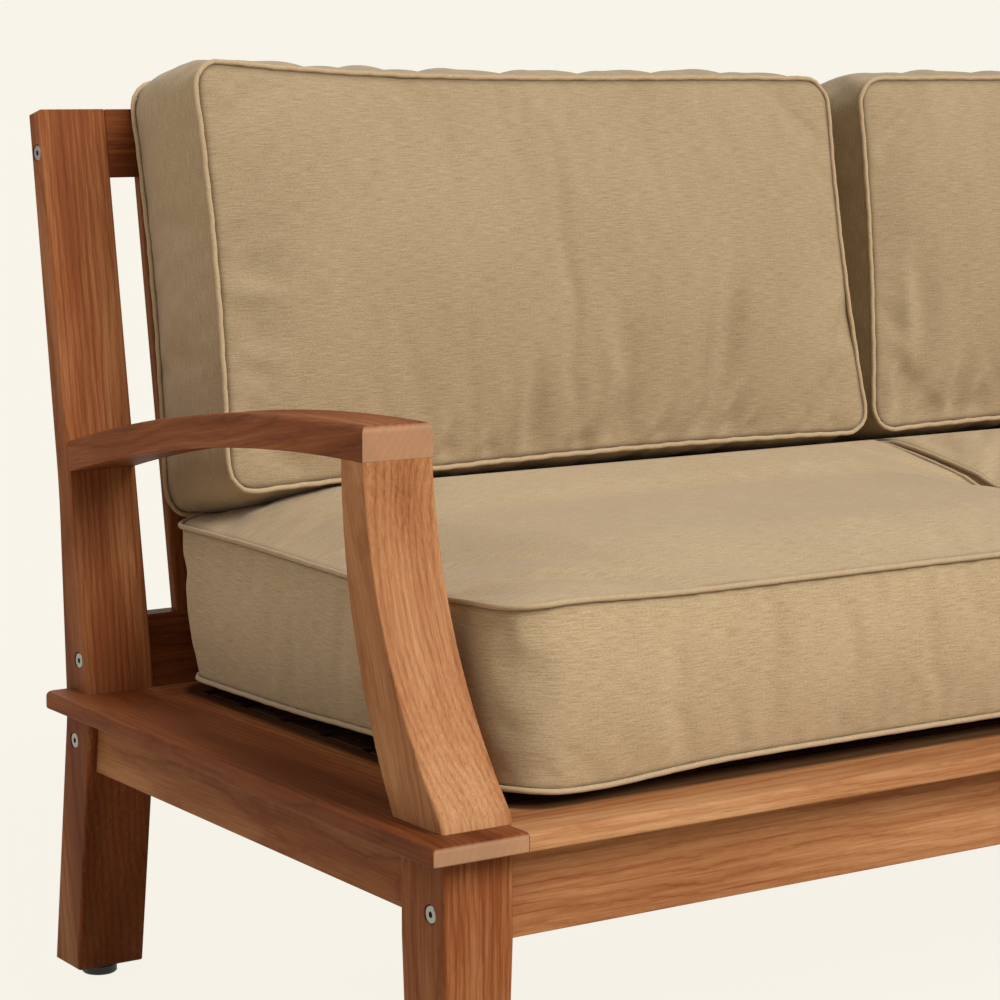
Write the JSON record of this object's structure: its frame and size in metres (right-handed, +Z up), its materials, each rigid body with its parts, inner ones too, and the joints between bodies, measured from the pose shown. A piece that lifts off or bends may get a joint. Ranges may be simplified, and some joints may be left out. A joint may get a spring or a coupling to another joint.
{
  "type": "patio loveseat",
  "caption": "Wooden patio loveseat with a slatted back, wide deck rail, curved arms and loose boxed seat and back cushions.",
  "frame": {"origin": "on the floor, under the middle of the loveseat's bounding box", "axes": "+X to the right seen from the front, +Y towards the back, +Z up; the front faces -Y"},
  "size_m": [1.8, 0.762, 0.8784],
  "materials": {
    "hardwood": "oiled, open grain",
    "dowel_wood": "plain beech",
    "cushion_fabric": "slubbed weave",
    "foam": "matte",
    "zip": "matte",
    "black_plastic": "matte",
    "stainless_steel": "brushed",
    "brass": "machined"
  },
  "bodies": {
    "frame": {"front_leg_left": "hardwood", "front_leg_right": "hardwood", "rear_post_left": "hardwood", "rear_post_right": "hardwood", "side_apron_left": "hardwood", "side_apron_right": "hardwood", "side_deck_board_left": "hardwood", "side_deck_board_right": "hardwood", "front_deck_board": "hardwood", "rear_deck_board": "hardwood", "front_apron": "hardwood", "rear_apron": "hardwood", "armrest_left": "hardwood", "armrest_right": "hardwood", "arm_support_left": "hardwood", "arm_support_right": "hardwood", "back_top_rail": "hardwood", "back_bottom_rail": "hardwood", "back_slats_left": "hardwood", "back_slats_right": "hardwood", "seat_slat_1": "hardwood", "seat_slat_2": "hardwood", "seat_slat_3": "hardwood", "seat_slat_4": "hardwood", "seat_slat_5": "hardwood", "seat_slat_6": "hardwood", "seat_slat_7": "hardwood", "seat_beam_left": "hardwood", "seat_beam_centre": "hardwood", "seat_beam_right": "hardwood", "slat_cleat_left": "hardwood", "slat_cleat_right": "hardwood", "leg_inserts": "brass", "frame_bolts": "stainless_steel", "barrel_nuts": "stainless_steel", "frame_dowels": "dowel_wood", "arm_dowels": "dowel_wood", "slat_screws": "stainless_steel"},
    "foot_front_left": {"foot_pad_front_left": "black_plastic", "foot_stem_front_left": "stainless_steel"},
    "foot_front_right": {"foot_pad_front_right": "black_plastic", "foot_stem_front_right": "stainless_steel"},
    "foot_rear_left": {"foot_pad_rear_left": "black_plastic", "foot_stem_rear_left": "stainless_steel"},
    "foot_rear_right": {"foot_pad_rear_right": "black_plastic", "foot_stem_rear_right": "stainless_steel"},
    "back_cushion_left": {"back_cushion_cover_left": "cushion_fabric", "back_cushion_filling_left": "foam", "back_cushion_zip_left": "zip"},
    "back_cushion_right": {"back_cushion_cover_right": "cushion_fabric", "back_cushion_filling_right": "foam", "back_cushion_zip_right": "zip"},
    "seat_cushion_left": {"seat_cushion_cover_left": "cushion_fabric", "seat_cushion_foam_left": "foam", "seat_cushion_zip_left": "zip"},
    "seat_cushion_right": {"seat_cushion_cover_right": "cushion_fabric", "seat_cushion_foam_right": "foam", "seat_cushion_zip_right": "zip"}
  },
  "joints": [
    {"name": "foot_front_left_height", "type": "slide", "parent": "frame", "child": "foot_front_left", "axis": [0, 0, -1], "range_m": [0, 0.015]},
    {"name": "foot_front_right_height", "type": "slide", "parent": "frame", "child": "foot_front_right", "axis": [0, 0, -1], "range_m": [0, 0.015]},
    {"name": "foot_rear_left_height", "type": "slide", "parent": "frame", "child": "foot_rear_left", "axis": [0, 0, -1], "range_m": [0, 0.015]},
    {"name": "foot_rear_right_height", "type": "slide", "parent": "frame", "child": "foot_rear_right", "axis": [0, 0, -1], "range_m": [0, 0.015]},
    {"name": "back_cushion_left_lift", "type": "slide", "parent": "frame", "child": "back_cushion_left", "axis": [0, 0.1526, 0.9883], "range_m": [0, 0.3]},
    {"name": "back_cushion_right_lift", "type": "slide", "parent": "frame", "child": "back_cushion_right", "axis": [0, 0.1526, 0.9883], "range_m": [0, 0.3]},
    {"name": "seat_cushion_left_pull", "type": "slide", "parent": "frame", "child": "seat_cushion_left", "axis": [0, -1, 0], "range_m": [0, 0.3]},
    {"name": "seat_cushion_right_pull", "type": "slide", "parent": "frame", "child": "seat_cushion_right", "axis": [0, -1, 0], "range_m": [0, 0.3]}
  ]
}
